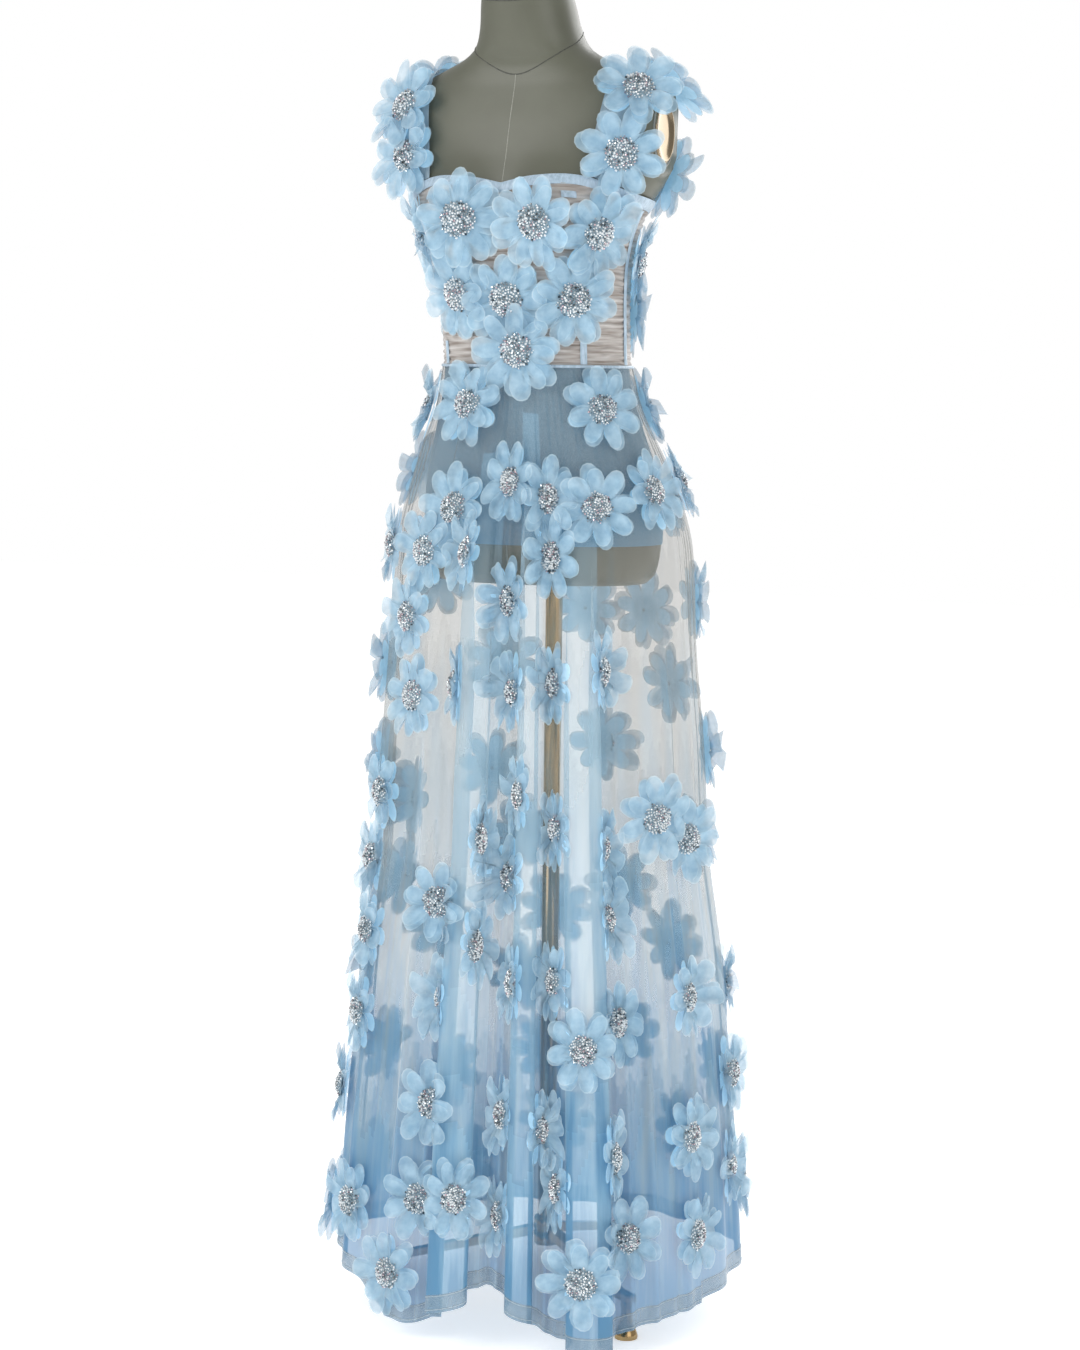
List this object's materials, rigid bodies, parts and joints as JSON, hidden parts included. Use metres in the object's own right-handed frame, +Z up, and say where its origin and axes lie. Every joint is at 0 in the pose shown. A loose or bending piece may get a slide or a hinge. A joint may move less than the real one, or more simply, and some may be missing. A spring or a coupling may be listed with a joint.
{
  "type": "tulle evening gown on a limbless dress form and stand",
  "caption": "Floor-length sheer tulle evening gown covered in raised organza flowers, worn on a limbless grey dress form with a metal pole and footed base.",
  "frame": {"origin": "middle of the bounding box, on the floor", "axes": "+Z up along the form, -Y towards the gown's front, +X towards the gown's left side"},
  "size_m": [0.513, 0.5208, 1.66],
  "materials": {
    "form_cover": "smooth satin cover",
    "polished_gold": "polished",
    "stand_gold": "polished",
    "ruched_mesh": "ruched sheer mesh",
    "satin_trim": "satin",
    "strap_tulle": "sheer",
    "organza_petals": "crisp organza",
    "lining": "matt",
    "skirt_tulle": "sheer"
  },
  "bodies": {
    "root": {"arm_plate_left": "polished_gold", "arm_plate_right": "polished_gold", "bodice_back_left": "ruched_mesh", "bodice_back_right": "ruched_mesh", "bodice_front": "ruched_mesh", "boning_channel_left": "satin_trim", "boning_channel_right": "satin_trim", "foot_1": "stand_gold", "foot_2": "stand_gold", "foot_3": "stand_gold", "form_torso": "form_cover", "hub": "stand_gold", "leg_1": "stand_gold", "leg_2": "stand_gold", "leg_3": "stand_gold", "lining_slip": "lining", "neck_cap": "form_cover", "pole": "stand_gold", "second_band_left": "satin_trim", "second_band_right": "satin_trim", "side_binding_left": "satin_trim", "side_binding_right": "satin_trim", "skirt_back": "skirt_tulle", "skirt_front": "skirt_tulle", "skirt_left": "skirt_tulle", "skirt_right": "skirt_tulle", "strap_flower_left_1": "organza_petals", "strap_flower_left_2": "organza_petals", "strap_flower_left_3": "organza_petals", "strap_flower_left_4": "organza_petals", "strap_flower_right_1": "organza_petals", "strap_flower_right_2": "organza_petals", "strap_flower_right_3": "organza_petals", "strap_flower_right_4": "organza_petals", "strap_left": "strap_tulle", "strap_right": "strap_tulle", "top_binding": "satin_trim"}
  },
  "joints": []
}
